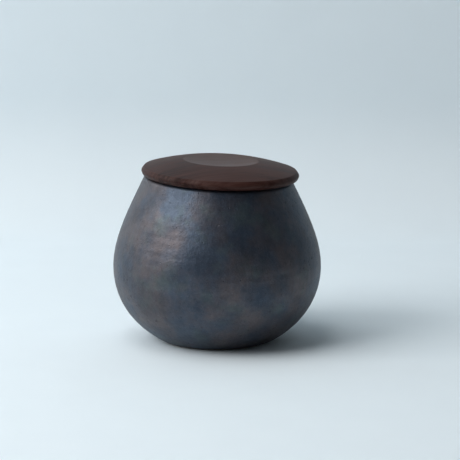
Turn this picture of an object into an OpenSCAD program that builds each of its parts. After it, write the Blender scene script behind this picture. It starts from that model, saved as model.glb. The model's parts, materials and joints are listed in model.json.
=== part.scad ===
// Small onggi jar with a turned wooden lid, in millimetres.
// The jar stands on z = 0, with its belly centred on the z axis. It was thrown by hand and its
// mouth leans a little, so the rim, the lid and the seal share an axis of their own: the mouth axis.

/* [Belly] */
// Outside diameter of the belly at its widest
belly_diameter = 110; // [94:1:140]
// Height of the widest part above the table
belly_height = 39.5; // [32:0.5:50]
// Thickness of the thrown wall
wall = 4.5; // [3:0.1:6]
// How long the curve keeps upright above the widest part, as a share of its rise
shoulder_fullness = 0.33; // [0.1:0.01:0.5]
// How straight the shoulder runs up to the rim, as a share of its rise
shoulder_straightness = 0.36; // [0.1:0.01:0.5]
// Lean of the shoulder from upright where it reaches the rim, in degrees
shoulder_lean = 25; // [15:1:40]

/* [Foot] */
// Outside diameter of the foot, where the wall starts
foot_diameter = 59; // [44:1:76]
// Slope of the wall where it leaves the foot, in degrees from flat
foot_slope = 28; // [18:1:50]
// How round the wall turns above the foot, as a share of the belly height
foot_fullness = 0.45; // [0.2:0.01:0.6]
// Width of the turned edge round the foot
foot_chamfer = 1; // [0.5:0.1:2]
// Width of the ring that the jar stands on
foot_ring_width = 7.5; // [3:0.5:12]
// Depth of the shallow recess turned inside that ring
recess_depth = 1.5; // [0.5:0.1:2.5]
// Thickness of the floor above the recess
floor_thickness = 5; // [3:0.1:8]

/* [Mouth] */
// Height of the middle of the rim above the table
rim_height = 86.3; // [70:0.1:106]
// Inside diameter of the mouth
mouth_diameter = 68; // [54:0.5:82]
// Length of the straight wall inside the mouth, down from the rim
mouth_depth = 6.4; // [5.8:0.1:10]
// Width of the rim from the mouth to its outer edge
rim_width = 4.8; // [4:0.1:7]
// Radius of the rounded outer edge of the rim
rim_round = 2.6; // [1.5:0.1:3]
// Width of the bevel on the inner edge of the rim
rim_bevel = 0.8; // [0.3:0.1:1.2]
// Lean of the mouth axis towards +x, in degrees
mouth_lean = 2.3; // [0:0.1:3]
// Distance of the mouth from the middle of the belly, towards +x
mouth_shift = 1.6; // [0:0.1:2]

/* [Lid] */
// Overhang of the lid past the rim, at the lid's widest
lid_overhang = 2.9; // [1.6:0.1:4]
// How far the underside slopes up, from the rim to the lower corner of the edge
underside_rise = 0.7; // [0.3:0.1:2]
// Height of the edge, which is widest half-way up
edge_height = 4.2; // [2:0.1:6]
// How far the lower corner of the edge draws in
edge_undercut = 1; // [0.4:0.1:1.5]
// How far the upper corner of the edge draws in
edge_draft = 1.5; // [0.4:0.1:2.5]
// Rise of the domed top above the edge, before its dish is cut
dome_rise = 6.1; // [3:0.1:9]
// Diameter of the shallow dish in the top
dish_diameter = 40.4; // [24:0.2:52]
// Depth of that dish
dish_depth = 1.3; // [0.5:0.1:2]
// Length of the plug that goes down into the mouth
plug_depth = 8; // [7:0.1:11]
// Gap all round between the plug and the mouth
plug_clearance = 0.7; // [0.4:0.1:1.2]
// Bevel on the lower edge of the plug
plug_bevel = 1; // [0.3:0.1:1.2]

/* [Seal] */
// Height of the seal ring
seal_height = 3.4; // [2.4:0.1:4.2]
// Distance from the rim down to the ring's groove
seal_drop = 1.6; // [1.4:0.1:2.4]
// Depth of the groove in the plug
groove_depth = 2.2; // [1.5:0.1:3]
// Height of each of the ring's two lips at its outer edge
lip_height = 0.6; // [0.4:0.1:0.8]
// How far the waist between the lips draws in
waist_depth = 1; // [0.5:0.1:1.4]
// Running gap between the ring and what it touches
seal_clearance = 0.05; // [0.02:0.01:0.1]

/* [Hidden] */
// Steps of each long curve, and of each small rounded corner
curve_steps = 20;
corner_steps = 5;
// Overshoot of a cutting shape past the surface that it cuts
cut = 1;
$fn = 180;

belly_radius = belly_diameter / 2;
foot_radius = foot_diameter / 2;
mouth_radius = mouth_diameter / 2;
rim_radius = mouth_radius + rim_width;
recess_radius = foot_radius - foot_chamfer - foot_ring_width;
floor_top = recess_depth + floor_thickness;
shoulder_rise = rim_height - belly_height;

lid_radius = rim_radius + lid_overhang;
edge_middle = underside_rise + edge_height / 2;
edge_top = underside_rise + edge_height;
top_radius = lid_radius - edge_draft;
dome_radius = (top_radius ^ 2 + dome_rise ^ 2) / (2 * dome_rise);
dome_centre = edge_top + dome_rise - dome_radius;
dish_radius = dish_diameter / 2;
dish_rim = dome_centre + sqrt(dome_radius ^ 2 - dish_radius ^ 2);
dish_curve = (dish_radius ^ 2 + dish_depth ^ 2) / (2 * dish_depth);
dish_centre = dish_rim - dish_depth + dish_curve;

plug_radius = mouth_radius - plug_clearance;
groove_radius = plug_radius - groove_depth;
groove_top = -seal_drop;
groove_bottom = groove_top - seal_height - 2 * seal_clearance;
seal_inner = groove_radius + seal_clearance;
seal_outer = mouth_radius - seal_clearance;
seal_top = groove_top - seal_clearance;
seal_bottom = seal_top - seal_height;

// The curve of the outer wall is two smooth curves that meet upright at the belly's widest.
// Each is set by its two ends and by a handle at each end, which gives the direction there.
belly_point = [belly_radius, belly_height];
rim_point = [rim_radius, rim_height];
foot_point = [foot_radius, 0];
shoulder_handles = [
    belly_point + [0, shoulder_fullness * shoulder_rise],
    rim_point + shoulder_straightness * shoulder_rise * [sin(shoulder_lean), -cos(shoulder_lean)]
];
foot_handles = [
    foot_point + foot_fullness * belly_height * [cos(foot_slope), sin(foot_slope)],
    belly_point - [0, foot_fullness * belly_height]
];

function curve_point(a, b, c, d, t) =
    (1 - t) ^ 3 * a + 3 * (1 - t) ^ 2 * t * b + 3 * (1 - t) * t ^ 2 * c + t ^ 3 * d;

function curve_slope(a, b, c, d, t) =
    (1 - t) ^ 2 * (b - a) + 2 * (1 - t) * t * (c - b) + t ^ 2 * (d - c);

function unit(v) = v / norm(v);

// A point of a curve, moved inwards, square to the curve, by the given distance
function inset_point(a, b, c, d, t, inset) =
    let (along = unit(curve_slope(a, b, c, d, t)))
    curve_point(a, b, c, d, t) + inset * [-along.y, along.x];

// The wall's curve from the foot up to the rim, moved inwards by the given distance
function wall_curve(inset) = [
    for (i = [0 : curve_steps - 1])
        inset_point(foot_point, foot_handles[0], foot_handles[1], belly_point, i / curve_steps, inset),
    for (i = [0 : curve_steps])
        inset_point(belly_point, shoulder_handles[0], shoulder_handles[1], rim_point,
            i / curve_steps, inset)
];

function arc(centre, radius, from, to) = [
    for (i = [0 : corner_steps])
        let (angle = from + (to - from) * i / corner_steps)
        centre + radius * [cos(angle), sin(angle)]
];

// Puts what is drawn round z, from its rim plane at z = 0, on the leaning mouth axis
module at_mouth() {
    translate([mouth_shift, 0, rim_height])
        rotate([0, mouth_lean, 0])
            children();
}

// The thrown form before its rim is pared: the wall's curve carried on straight past the rim
module thrown_form() {
    reach = rim_width + rim_bevel;
    top = rim_point + reach * [-sin(shoulder_lean), cos(shoulder_lean)];
    rotate_extrude()
        polygon(concat([[0, 0]], wall_curve(0), [top, [0, top.y]]));
}

// Everything under the pared rim: flat on top, round at its edge, then falling away at 45 degrees
module below_rim() {
    edge = [rim_radius - rim_round, -rim_round];
    reach = rim_height + cut;
    rotate_extrude()
        polygon(concat(
            [[0, -reach], [0, 0]],
            arc(edge, rim_round, 90, 45),
            [edge + [reach, -reach + rim_round * sqrt(2)]]
        ));
}

// The hollow: the wall's curve moved in by the wall, with a flat floor and a 45 degree throat
module hollow() {
    neck = rim_height - mouth_depth;
    rotate_extrude()
        intersection() {
            polygon(concat([[0, 0]], wall_curve(wall), [[0, rim_height]]));
            polygon([
                [0, floor_top],
                [belly_radius, floor_top],
                [belly_radius, neck + mouth_radius - belly_radius],
                [mouth_radius, neck],
                [mouth_radius / 2, neck + mouth_radius / 2],
                [0, neck + mouth_radius / 2]
            ]);
        }
}

module mouth_bore() {
    at_mouth() {
        translate([0, 0, -2 * mouth_depth])
            cylinder(r = mouth_radius, h = 2 * mouth_depth + cut);
        translate([0, 0, -rim_bevel])
            cylinder(r1 = mouth_radius, r2 = mouth_radius + rim_bevel + cut, h = rim_bevel + cut);
    }
}

module foot_edge() {
    difference() {
        translate([0, 0, -cut])
            cylinder(r = belly_radius, h = cut + foot_chamfer);
        translate([0, 0, -cut])
            cylinder(r1 = foot_radius - foot_chamfer - cut, r2 = foot_radius, h = cut + foot_chamfer);
    }
}

module jar_body() {
    color("#454f59")
        difference() {
            intersection() {
                thrown_form();
                at_mouth() below_rim();
            }
            hollow();
            mouth_bore();
            foot_edge();
            translate([0, 0, -cut])
                cylinder(r = recess_radius, h = cut + recess_depth);
        }
}

module seal_ring() {
    middle = (seal_top + seal_bottom) / 2;
    color("#b9b2a6")
        at_mouth()
            rotate_extrude()
                polygon([
                    [seal_inner, seal_bottom],
                    [seal_outer, seal_bottom],
                    [seal_outer, seal_bottom + lip_height],
                    [seal_outer - waist_depth, middle],
                    [seal_outer, seal_top - lip_height],
                    [seal_outer, seal_top],
                    [seal_inner, seal_top]
                ]);
}

module lid() {
    color("#4a2c28")
        at_mouth()
            rotate_extrude()
                difference() {
                    union() {
                        lid_outline();
                        dome_outline();
                    }
                    translate([0, dish_centre])
                        circle(r = dish_curve);
                }
}

// Half of the lid's section below its dome: plug and groove, underside and edge
module lid_outline() {
    polygon([
        [0, -plug_depth],
        [plug_radius - plug_bevel, -plug_depth],
        [plug_radius, -plug_depth + plug_bevel],
        [plug_radius, groove_bottom],
        [groove_radius, groove_bottom],
        [groove_radius, groove_top],
        [plug_radius, groove_top],
        [plug_radius, 0],
        [rim_radius, 0],
        [lid_radius - edge_undercut, underside_rise],
        [lid_radius, edge_middle],
        [top_radius, edge_top],
        [0, edge_top]
    ]);
}

module dome_outline() {
    intersection() {
        translate([0, dome_centre])
            circle(r = dome_radius);
        translate([0, underside_rise])
            square([top_radius, edge_height + dome_rise]);
    }
}

jar_body();
seal_ring();
lid();
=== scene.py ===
import json
import math
from bisect import bisect

import bmesh
import bpy
from mathutils import Matrix, Vector, noise
from mathutils.geometry import interpolate_bezier


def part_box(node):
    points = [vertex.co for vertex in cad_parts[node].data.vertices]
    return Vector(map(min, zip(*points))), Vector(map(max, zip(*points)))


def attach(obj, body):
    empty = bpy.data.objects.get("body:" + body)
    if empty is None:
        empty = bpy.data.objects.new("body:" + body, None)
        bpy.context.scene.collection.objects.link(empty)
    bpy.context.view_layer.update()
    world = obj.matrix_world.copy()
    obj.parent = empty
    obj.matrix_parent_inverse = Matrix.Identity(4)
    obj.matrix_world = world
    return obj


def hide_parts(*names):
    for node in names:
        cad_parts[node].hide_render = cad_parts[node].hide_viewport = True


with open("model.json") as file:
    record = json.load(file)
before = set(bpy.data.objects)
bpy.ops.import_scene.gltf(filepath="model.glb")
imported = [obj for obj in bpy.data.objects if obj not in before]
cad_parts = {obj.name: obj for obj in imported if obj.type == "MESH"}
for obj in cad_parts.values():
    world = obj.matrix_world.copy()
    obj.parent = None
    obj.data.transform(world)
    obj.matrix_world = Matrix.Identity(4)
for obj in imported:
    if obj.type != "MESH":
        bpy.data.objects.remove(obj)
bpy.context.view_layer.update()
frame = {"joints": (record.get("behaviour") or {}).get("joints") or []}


# The jar is one piece of stoneware, thrown on a wheel with a spiral of faint finger ridges, pared
# at its foot and rim, and dipped in a dark blue-grey glaze. Its foot is wiped bare, and its mouth
# leans a little to the right, on the axis that the lid turns on.
jar_low, jar_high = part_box("jar_body")
lid_hinge = next(joint for joint in frame["joints"] if joint["name"] == "lid_turn")
rim_centre = Vector(lid_hinge["pos_m"])
mouth_axis = Vector(lid_hinge["axis"])
belly_radius = (jar_high.x - jar_low.x) / 2
belly_height = 0.0395
shoulder_fullness = 0.33
shoulder_straightness = 0.36
shoulder_lean = math.radians(25)
foot_radius = 0.0295
foot_slope = math.radians(28)
foot_fullness = 0.45
foot_edge = 0.001
recess_radius = 0.021
recess_depth = 0.0015
floor_top = 0.0065
floor_round = 0.0016
wall = 0.0045
mouth_radius = 0.034
mouth_depth = 0.0064
throat_round = 0.0012
rim_width = 0.0048
rim_bevel = 0.0008
rim_rounding = 0.0018
crisp = 0.0002
lean_start = 0.066
ridge_pitch = 0.0047
ridge_depth = 0.00005
ridge_wander = 2
ridge_bends = 30
swell_depth = 0.00022
swells_per_metre = 42
surface_fade = 0.004
jar_segments = 240

glaze_blue = (0.006, 0.01, 0.018)
glaze_brown = (0.018, 0.014, 0.016)
glaze_green = (0.018, 0.027, 0.026)
glaze_run = (0.026, 0.032, 0.046)
blue_sheen = (0.56, 0.7, 0.92)
brown_sheen = (0.9, 0.8, 0.83)
green_sheen = (0.72, 0.93, 0.9)
dull_sheen = (0.2, 0.23, 0.3)
pale_speck = (0.08, 0.095, 0.12)
dark_spot = (0.0015, 0.0015, 0.002)
# Painted shade inside the pinholes.
painted_pinhole_shade = (0.004, 0.004, 0.004)
clay_shadow = (0.11, 0.075, 0.055)
clay_light = (0.3, 0.24, 0.19)
clay_roughness = (0.85, 0.85, 0.85)
bare_height = 0.0011
bare_raggedness = 0.0006
skin_depth = 0.0002
run_depth = 0.00002
pinhole_depth = 0.00012

rim_height = rim_centre.z
rim_radius = mouth_radius + rim_width
neck = rim_height - mouth_depth
rise = rim_height - belly_height
to_mouth = (Matrix.Translation(rim_centre)
            @ Vector((0, 0, 1)).rotation_difference(mouth_axis).to_matrix().to_4x4())


def at(radius, height):
    """A point of a section, which lies in the x-z plane."""
    return Vector((radius, 0, height))


def slanted(point, length, angle):
    """The point a length away from another, at an angle up from level."""
    return point + length * at(math.cos(angle), math.sin(angle))


def softened(corners, reaches, steps=6, fullness=0.45, support=1.3):
    """An open outline whose inner corners are rounded, each over its reach to both sides.

    A supporting point beyond each end of a rounding keeps the flats next to it flat."""
    outline = [corners[0]]
    for before, corner, after, reach in zip(corners, corners[1:], corners[2:], reaches):
        back = (before - corner).normalized() * reach
        on = (after - corner).normalized() * reach
        turn = interpolate_bezier(corner + back, corner + back * fullness,
                                  corner + on * fullness, corner + on, steps)
        outline += [corner + back * support, *turn, corner + on * support]
    return outline + [corners[-1]]


def inset(points, distance):
    """A section's curve moved to its left, square to itself."""
    ends = zip([points[0]] + points, points[1:] + [points[-1]], points)
    return [point + distance * at(start.z - end.z, end.x - start.x).normalized()
            for start, end, point in ends]


def turned(section, segments):
    """A section spun round z into a closed shape."""
    shape = bmesh.new()
    corners = [shape.verts.new(point) for point in section]
    edges = [shape.edges.new(pair) for pair in zip(corners, corners[1:])]
    bmesh.ops.spin(shape, geom=corners + edges, cent=(0, 0, 0), axis=(0, 0, 1), angle=math.tau,
                   steps=segments, use_merge=True)
    bmesh.ops.remove_doubles(shape, verts=shape.verts, dist=1e-6)
    bmesh.ops.recalc_face_normals(shape, faces=shape.faces)
    return shape


def finished(shape, name, material):
    """Puts a shape into the scene as a smooth-shaded piece with its material."""
    mesh = bpy.data.meshes.new(name)
    for face in shape.faces:
        face.smooth = True
    shape.to_mesh(mesh)
    shape.free()
    mesh.materials.append(material)
    piece = bpy.data.objects.new(name, mesh)
    bpy.context.scene.collection.objects.link(piece)
    return piece


def feed(material, node, name, value):
    """Sets an input of a node to a value, or to the socket that feeds it."""
    if isinstance(value, bpy.types.NodeSocket):
        material.node_tree.links.new(value, node.inputs[name])
    else:
        node.inputs[name].default_value = value


def added(material, kind, inputs, **settings):
    """A new node of a material, with its settings and its inputs."""
    node = material.node_tree.nodes.new(kind)
    for name, value in settings.items():
        setattr(node, name, value)
    for name, value in inputs.items():
        feed(material, node, name, value)
    return node


def new_material(name):
    """A new material that has its shader and nothing else."""
    material = bpy.data.materials.new(name)
    material.use_nodes = True
    return material


def shade(material, inputs):
    """Sets inputs of a material's shader, each to a value or to the socket that feeds it."""
    for name, value in inputs.items():
        feed(material, material.node_tree.nodes["Principled BSDF"], name, value)


def placed(material, vector, scale=(1, 1, 1), turn=(0, 0, 0), place=(0, 0, 0)):
    """Coordinates that are scaled, then turned, then moved."""
    return added(material, "ShaderNodeMapping", {
        "Vector": vector, "Scale": scale, "Rotation": turn, "Location": place}).outputs[0]


def own_place(material):
    """The piece's own coordinates, in metres."""
    return added(material, "ShaderNodeTexCoord", {}).outputs["Object"]


def height_of(material, vector):
    """The height in some coordinates."""
    return added(material, "ShaderNodeSeparateXYZ", {"Vector": vector}).outputs["Z"]


def product(material, first, second):
    """Two numbers multiplied."""
    return added(material, "ShaderNodeMath", {0: first, 1: second}, operation="MULTIPLY").outputs[0]


def clouds(material, vector, scale, detail=3, rough=0.5, twist=0):
    """Soft noise between 0 and 1, with a number of blotches to the metre."""
    return added(material, "ShaderNodeTexNoise", {
        "Vector": vector, "Scale": scale, "Detail": detail, "Roughness": rough,
        "Distortion": twist}).outputs["Fac"]


def spread(material, socket, start, end, low=0, high=1):
    """Stretches what lies between a start and an end over low to high, and clips the rest."""
    return added(material, "ShaderNodeMapRange", {
        "Value": socket, "From Min": start, "From Max": end, "To Min": low,
        "To Max": high}).outputs["Result"]


def mixed(material, share, first, second):
    """Two colours mixed by a share of the second. Each is a socket or three numbers."""
    ready = [colour if isinstance(colour, bpy.types.NodeSocket) else (*colour, 1)
             for colour in (first, second)]
    return added(material, "ShaderNodeMix", {0: share, 6: ready[0], 7: ready[1]},
                 data_type="RGBA").outputs[2]


def bumped(material, height, depth, under=None):
    """A bump from a height between 0 and 1, of a depth in metres, on top of another bump."""
    inputs = {"Height": height, "Distance": depth, "Strength": 1}
    if under is not None:
        inputs["Normal"] = under
    return added(material, "ShaderNodeBump", inputs).outputs["Normal"]


belly = at(belly_radius, belly_height)
rim_edge = at(rim_radius, rim_height)
foot = at(foot_radius, 0)
lower_wall = interpolate_bezier(
    foot, slanted(foot, foot_fullness * belly_height, foot_slope),
    belly - at(0, foot_fullness * belly_height), belly, 80)
upper_wall = interpolate_bezier(
    belly, belly + at(0, shoulder_fullness * rise),
    slanted(rim_edge, shoulder_straightness * rise, shoulder_lean - math.pi / 2), rim_edge, 90)
outer_wall = [Vector(point) for point in lower_wall + upper_wall[1:]]
wall_heights = [point.z for point in outer_wall]


def wall_radius(height):
    """The outer wall's radius at a height. Past the rim, the wall's line carries on straight."""
    if height > rim_height:
        return rim_radius - (height - rim_height) * math.tan(shoulder_lean)
    place = min(max(bisect(wall_heights, height), 1), len(outer_wall) - 1)
    low, high = outer_wall[place - 1], outer_wall[place]
    return low.x + (high.x - low.x) * (height - low.z) / (high.z - low.z)


def settle(vert):
    """Leans the jar's mouth. The outer wall keeps its curve, and gets its ridges and swells."""
    height, radius = vert.co.z, vert.co.xy.length
    share = min(max((height - lean_start) / (neck - lean_start), 0), 1)
    share = share * share * (3 - 2 * share)
    leaning = to_mouth @ (vert.co - Vector((0, 0, rim_height)))
    if radius <= wall_radius(height) - wall / 2 or height <= foot_edge:
        vert.co = vert.co.lerp(leaning, share)
        return
    spiral = math.tau * height / ridge_pitch - math.atan2(vert.co.y, vert.co.x)
    wander = ridge_wander * noise.noise(vert.co * ridge_bends)
    ridges = ridge_depth * (1 - math.cos(spiral + wander)) / 2
    swells = swell_depth * (1 + noise.noise(vert.co * swells_per_metre)) / 2
    fade = min(height / surface_fade, 1) * min(max((rim_height - height) / surface_fade, 0), 1)
    new_radius = wall_radius(leaning.z) + radius - wall_radius(height) if share else radius
    leaning.xy = vert.co.xy * new_radius / radius
    vert.co = vert.co.lerp(leaning, share)
    vert.co.xy *= 1 - (ridges + swells) * fade / radius


wall_top = rim_height - 1.5 * rim_rounding
pared_wall = [point for point in outer_wall if foot_edge < point.z < wall_top]
inner_wall = [point for point in inset(outer_wall, wall)[::2]
              if floor_top < point.z < neck - max(point.x - mouth_radius, 0)]
under = softened(
    [at(0, recess_depth), at(recess_radius, recess_depth), at(recess_radius, 0),
     at(foot_radius - foot_edge, 0), pared_wall[0]],
    [0.0005, 0.0004, 0.0003])
rim = softened(
    [pared_wall[-1], at(rim_radius - 0.0001, rim_height), at(mouth_radius + rim_bevel, rim_height),
     at(mouth_radius, rim_height - rim_bevel), at(mouth_radius, neck), inner_wall[-1]],
    [rim_rounding, crisp, crisp, throat_round], 8)
floor = softened(
    [inner_wall[0], at(inner_wall[0].x - 0.002, floor_top), at(0, floor_top)], [floor_round])

jar = turned(under + pared_wall[1:] + rim[1:] + inner_wall[-2::-1] + floor[1:], jar_segments)
for vert in jar.verts:
    settle(vert)


def dark_glaze():
    """Blue-black glaze with brown and green clouds, dull patches, specks, spots, and pinholes with
    painted shade.

    The foot's last millimetre is bare clay, with a ragged edge to the glaze."""
    made = new_material("dark_glaze")
    own = own_place(made)
    shifted = placed(made, own, place=(3.1, 1.7, 0.4))
    upright = placed(made, own, scale=(1, 1, 0.08))
    browns = spread(made, clouds(made, own, 42, 5, 0.62), 0.4, 0.62)
    greens = spread(made, clouds(made, shifted, 58, 4, 0.6), 0.52, 0.7, 0, 0.7)
    dull = spread(made, clouds(made, shifted, 75, 5, 0.65), 0.38, 0.62, 0.55, 0)
    runs = spread(made, clouds(made, upright, 330, 3), 0.35, 0.7)
    spots = spread(made, clouds(made, shifted, 520, 4, 0.7), 0.42, 0.3)
    grains = clouds(made, own, 1500, 2, 0.7)
    cells = added(made, "ShaderNodeTexVoronoi", {"Vector": own, "Scale": 230, "Randomness": 1})
    pinholes = spread(made, cells.outputs["Distance"], 0.1, 0.05)

    colour = mixed(made, browns, glaze_blue, glaze_brown)
    colour = mixed(made, greens, colour, glaze_green)
    colour = mixed(made, spread(made, runs, 0, 1, 0, 0.35), colour, glaze_run)
    colour = mixed(made, spread(made, grains, 0.56, 0.7, 0, 0.3), colour, pale_speck)
    colour = mixed(made, spread(made, spots, 0, 1, 0, 0.6), colour, dark_spot)
    # The pinholes are darkened with painted shade.
    colour = mixed(made, pinholes, colour, painted_pinhole_shade)
    sheen = mixed(made, browns, blue_sheen, brown_sheen)
    sheen = mixed(made, greens, sheen, green_sheen)
    sheen = mixed(made, dull, sheen, dull_sheen)

    ragged = added(made, "ShaderNodeMath", {0: clouds(made, own, 160, 3), 1: bare_raggedness,
                   2: height_of(made, own)}, operation="MULTIPLY_ADD").outputs[0]
    bare = spread(made, ragged, bare_height, bare_height - 0.0003)
    clay = mixed(made, grains, clay_shadow, clay_light)
    satin = spread(made, spots, 0, 1, 0.48, 0.7)
    skin = bumped(made, clouds(made, own, 480, 5, 0.65), skin_depth)
    skin = bumped(made, runs, run_depth, skin)
    skin = bumped(made, spread(made, pinholes, 0, 1, 1, 0), pinhole_depth, skin)
    shade(made, {"IOR": 2, "Base Color": mixed(made, bare, colour, clay), "Specular Tint": sheen,
                 "Roughness": mixed(made, bare, satin, clay_roughness), "Normal": skin})
    return made


jar_piece = finished(jar, "jar", dark_glaze())
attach(jar_piece, "jar")
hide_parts("jar_body")


# The lid is one piece of dark red-brown hardwood, turned on a lathe: a thin lens with a shallow
# dish in its top and a narrow edge, and under it a plug with a groove for the seal. Its dish is
# painted paler, a lighter finish with a painted reflection of the bright room. It sits on the rim.
lid_radius = rim_radius + 0.0029
edge_bottom = 0.0007
edge_top = 0.0049
edge_undercut = 0.001
edge_draft = 0.0015
dome_rise = 0.0061
dish_radius = 0.0202
dish_depth = 0.0013
plug_radius = mouth_radius - 0.0007
plug_depth = 0.008
plug_bevel = 0.001
groove_radius = plug_radius - 0.0022
groove_top = -0.0016
groove_bottom = -0.0051
slope_steps = 20
dish_steps = 16
lid_segments = 300

wood_dark = (0.006, 0.002, 0.002)
wood_red = (0.034, 0.01, 0.007)
wood_streak = (0.085, 0.04, 0.032)
# The dish's paler colour: a lighter finish with a painted reflection of the bright room.
dish_finish_and_sheen = (0.12, 0.09, 0.083)
wood_pore = (0.008, 0.004, 0.004)
dull_streak = (0.35, 0.28, 0.27)
shiny_streak = (1, 0.93, 0.92)
grain_turn = (0.03, 0.05, -0.3)
fibre_counts = (22, 420, 200)
figure_counts = (9, 85, 45)
lathe_ring_spacing = 0.0011
lathe_ring_depth = 0.00001
pore_depth = 0.00003

top_radius = lid_radius - edge_draft
dome_radius = (top_radius ** 2 + dome_rise ** 2) / (2 * dome_rise)
dish_curve = (dish_radius ** 2 + dish_depth ** 2) / (2 * dish_depth)


def dome_point(radius):
    """A point of the domed top's section. Heights are above the rim."""
    centre = edge_top + dome_rise - dome_radius
    return at(radius, centre + math.sqrt(dome_radius ** 2 - radius ** 2))


def dish_point(radius):
    """A point of the dish's section."""
    centre = dome_point(dish_radius).z - dish_depth + dish_curve
    return at(radius, centre - math.sqrt(dish_curve ** 2 - radius ** 2))


slope = [dome_point(top_radius + (dish_radius - top_radius) * step / slope_steps)
         for step in range(1, slope_steps)]
dish = [dish_point(dish_radius * (1 - step / dish_steps)) for step in range(1, dish_steps + 1)]
lower_half = softened(
    [at(0, -plug_depth), at(plug_radius - plug_bevel, -plug_depth),
     at(plug_radius, -plug_depth + plug_bevel), at(plug_radius, groove_bottom),
     at(groove_radius, groove_bottom), at(groove_radius, groove_top),
     at(plug_radius, groove_top), at(plug_radius, 0), at(rim_radius, 0),
     at(lid_radius - edge_undercut, edge_bottom), at(lid_radius, (edge_bottom + edge_top) / 2),
     at(top_radius, edge_top), slope[0]],
    [0.0004, 0.0004, crisp, crisp, crisp, crisp, 0.0003, 0.0006, 0.0005, 0.0008, 0.0003])
brow = softened([slope[-1], dome_point(dish_radius), dish[0]], [0.0005])
lid = turned(lower_half + slope[1:] + brow[1:] + dish[1:], lid_segments)
bmesh.ops.transform(lid, matrix=to_mouth, verts=lid.verts)


def dark_wood():
    """Oiled hardwood whose grain crosses the lid at a slant, with rings from the lathe."""
    made = new_material("dark_wood")
    from_mouth = to_mouth.inverted()
    lid_place = placed(made, own_place(made), turn=from_mouth.to_euler(),
                       place=from_mouth.to_translation())
    along_grain = placed(made, lid_place, turn=grain_turn)
    fibres = placed(made, along_grain, scale=fibre_counts)
    figure = placed(made, along_grain, scale=figure_counts)
    streaks = spread(made, clouds(made, fibres, 1, 5, 0.65, 0.2), 0.35, 0.68)
    bands = spread(made, clouds(made, figure, 1, 3, 0.55, 0.6), 0.35, 0.65)
    pores = spread(made, clouds(made, fibres, 2.3, 2, 0.5), 0.36, 0.28)

    flat = placed(made, lid_place, scale=(1, 1, 0))
    reach = added(made, "ShaderNodeVectorMath", {0: flat}, operation="LENGTH").outputs["Value"]
    in_dish = product(made, spread(made, reach, dish_radius, dish_radius - 0.001),
                      spread(made, height_of(made, lid_place), 0, edge_top, 0, 0.45))
    colour = mixed(made, bands, wood_dark, wood_red)
    colour = mixed(made, spread(made, streaks, 0, 1, 0, 0.6), colour, wood_streak)
    # The dish is painted paler: a lighter finish, with a painted reflection of the bright room.
    colour = mixed(made, in_dish, colour, dish_finish_and_sheen)
    colour = mixed(made, spread(made, pores, 0, 1, 0, 0.8), colour, wood_pore)

    rings_to_metre = math.tau / 20 / lathe_ring_spacing
    rings = added(made, "ShaderNodeTexWave", {"Vector": lid_place, "Scale": rings_to_metre,
                  "Distortion": 1.5, "Detail": 2}, wave_type="RINGS", rings_direction="Z")
    skin = bumped(made, rings.outputs["Fac"], lathe_ring_depth)
    skin = bumped(made, spread(made, pores, 0, 1, 1, 0), pore_depth, skin)
    shade(made, {"IOR": 1.3, "Base Color": colour,
                 "Specular Tint": mixed(made, streaks, dull_streak, shiny_streak),
                 "Roughness": spread(made, streaks, 0, 1, 0.5, 0.62), "Normal": skin})
    return made


lid_piece = finished(lid, "lid_wood", dark_wood())
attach(lid_piece, "lid")
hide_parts("lid")


# The seal is a ring of pale silicone, moulded with two lips and a waist between them. It lies in
# the plug's groove and closes the gap to the mouth.
seal_clearance = 0.00005
seal_inner = groove_radius + seal_clearance
seal_outer = mouth_radius - seal_clearance
seal_top = groove_top - seal_clearance
seal_bottom = groove_bottom + seal_clearance
seal_middle = (seal_top + seal_bottom) / 2
lip_height = 0.0006
waist_radius = seal_outer - 0.001
seal_segments = 180
silicone_shadow = (0.46, 0.44, 0.39)
silicone_light = (0.62, 0.6, 0.55)
dust_depth = 0.00001

ring_start = at(seal_inner, seal_middle)
ring = turned(softened(
    [ring_start, at(seal_inner, seal_bottom), at(seal_outer, seal_bottom),
     at(seal_outer, seal_bottom + lip_height), at(waist_radius, seal_middle),
     at(seal_outer, seal_top - lip_height), at(seal_outer, seal_top), at(seal_inner, seal_top),
     ring_start],
    [0.0003, crisp, crisp, 0.0004, crisp, crisp, 0.0003]), seal_segments)
bmesh.ops.transform(ring, matrix=to_mouth, verts=ring.verts)


def pale_silicone():
    """Milky silicone, a little dusty from the mould."""
    made = new_material("pale_silicone")
    dust = clouds(made, own_place(made), 900, 3, 0.6)
    shade(made, {"IOR": 1.41, "Subsurface Weight": 0.15, "Subsurface Scale": 0.001,
                 "Base Color": mixed(made, dust, silicone_shadow, silicone_light),
                 "Roughness": spread(made, dust, 0.3, 0.7, 0.38, 0.55),
                 "Normal": bumped(made, dust, dust_depth)})
    return made


ring_piece = finished(ring, "seal", pale_silicone())
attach(ring_piece, "seal")
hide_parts("seal_ring")


# The table and the wall behind it are one sheet of pale paper, swept up behind the jar.
table_reach = 2.5
backdrop_distance = 0.33
backdrop_top = 1.5
sweep_radius = 0.08
sweep_steps = 12
paper_shadow = (0.76, 0.84, 0.885)
paper_light = (0.79, 0.87, 0.91)

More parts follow.
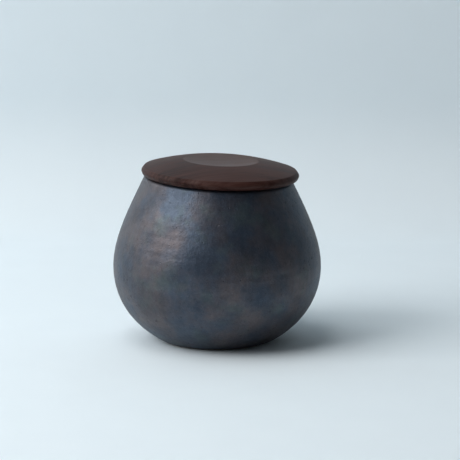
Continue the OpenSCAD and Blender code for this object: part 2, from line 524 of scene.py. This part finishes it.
profile = [Vector((-table_reach, -table_reach, 0))]
for step in range(sweep_steps + 1):
    angle = math.pi / 2 * step / sweep_steps
    profile.append(Vector((-table_reach, backdrop_distance - sweep_radius * (1 - math.sin(angle)),
                           sweep_radius * (1 - math.cos(angle)))))
profile.append(Vector((-table_reach, backdrop_distance, backdrop_top)))
sheet = bmesh.new()
corners = [sheet.verts.new(point) for point in profile]
edges = [sheet.edges.new(pair) for pair in zip(corners, corners[1:])]
grown = bmesh.ops.extrude_edge_only(sheet, edges=edges)["geom"]
bmesh.ops.translate(sheet, vec=(2 * table_reach, 0, 0),
                    verts=[part for part in grown if isinstance(part, bmesh.types.BMVert)])
bmesh.ops.recalc_face_normals(sheet, faces=sheet.faces)
sheet.faces.ensure_lookup_table()
if sheet.faces[0].normal.z < 0:
    bmesh.ops.reverse_faces(sheet, faces=sheet.faces)


def pale_paper():
    """Matt paper with the faintest mottle. The camera sees through its back, to the jar."""
    made = new_material("pale_paper")
    mottle = clouds(made, own_place(made), 30, 4)
    shade(made, {"Roughness": 0.8, "Base Color": mixed(made, mottle, paper_shadow, paper_light)})
    behind = added(made, "ShaderNodeNewGeometry", {}).outputs["Backfacing"]
    seen = added(made, "ShaderNodeLightPath", {}).outputs["Is Camera Ray"]
    clear = added(made, "ShaderNodeBsdfTransparent", {}).outputs[0]
    paper = made.node_tree.nodes["Principled BSDF"].outputs[0]
    surface = added(made, "ShaderNodeMixShader",
                    {0: product(made, behind, seen), 1: paper, 2: clear}).outputs[0]
    feed(made, made.node_tree.nodes["Material Output"], "Surface", surface)
    return made


finished(sheet, "backdrop", pale_paper())


# The light is a large soft window to the left and in front, and a weak even ceiling. The rest of
# the room is dark.
window_place = Vector((-1.2, -0.5, 0.95))
window_aim = Vector((0, 0, 0.04))
window_watts = 18.5
ceiling_place = Vector((-0.5, 0, 1.4))
ceiling_aim = Vector((0, 0, 0))
ceiling_watts = 11
room_colour = (0.9, 0.95, 1, 1)
room_strength = 0.07


def soft_lamp(name, place, aim, width, height, power):
    """An area lamp at a place, turned towards its aim."""
    lamp = bpy.data.lights.new(name, "AREA")
    lamp.shape = "RECTANGLE"
    lamp.size = width
    lamp.size_y = height
    lamp.energy = power
    holder = bpy.data.objects.new(name, lamp)
    bpy.context.scene.collection.objects.link(holder)
    holder.location = place
    holder.rotation_euler = (aim - place).to_track_quat("-Z", "Y").to_euler()


soft_lamp("window", window_place, window_aim, 1.2, 0.9, window_watts)
soft_lamp("ceiling", ceiling_place, ceiling_aim, 1.6, 1.0, ceiling_watts)
world = bpy.data.worlds.new("room")
world.use_nodes = True
world.node_tree.nodes["Background"].inputs["Color"].default_value = room_colour
world.node_tree.nodes["Background"].inputs["Strength"].default_value = room_strength
bpy.context.scene.world = world


# The camera stands in front and a little above, as the photograph's did, with a long lens. It aims
# past the jar, so that the belly's middle shows in the photograph's column and row.
picture_width = 460
axis_column = 217.1
target_row = 263.5
belly_pixels = 103.9
target = Vector((0, 0, 0.04))
view_elevation = math.radians(12)
view_distance = 1.4
sensor_width = 36

metres_per_pixel = belly_radius / belly_pixels
forward = Vector((0, math.cos(view_elevation), -math.sin(view_elevation)))
upward = Vector((0, math.sin(view_elevation), math.cos(view_elevation)))
across_shift = (picture_width / 2 - axis_column) * metres_per_pixel
upward_shift = (target_row - picture_width / 2) * metres_per_pixel
aim = target + across_shift * Vector((1, 0, 0)) + upward_shift * upward
camera_data = bpy.data.cameras.new("camera")
camera_data.sensor_width = sensor_width
camera_data.lens = view_distance / metres_per_pixel * sensor_width / picture_width
camera = bpy.data.objects.new("camera", camera_data)
bpy.context.scene.collection.objects.link(camera)
camera.location = target - view_distance * forward
camera.rotation_euler = (aim - camera.location).to_track_quat("-Z", "Y").to_euler()
bpy.context.scene.camera = camera
bpy.context.scene.view_settings.view_transform = "Standard"
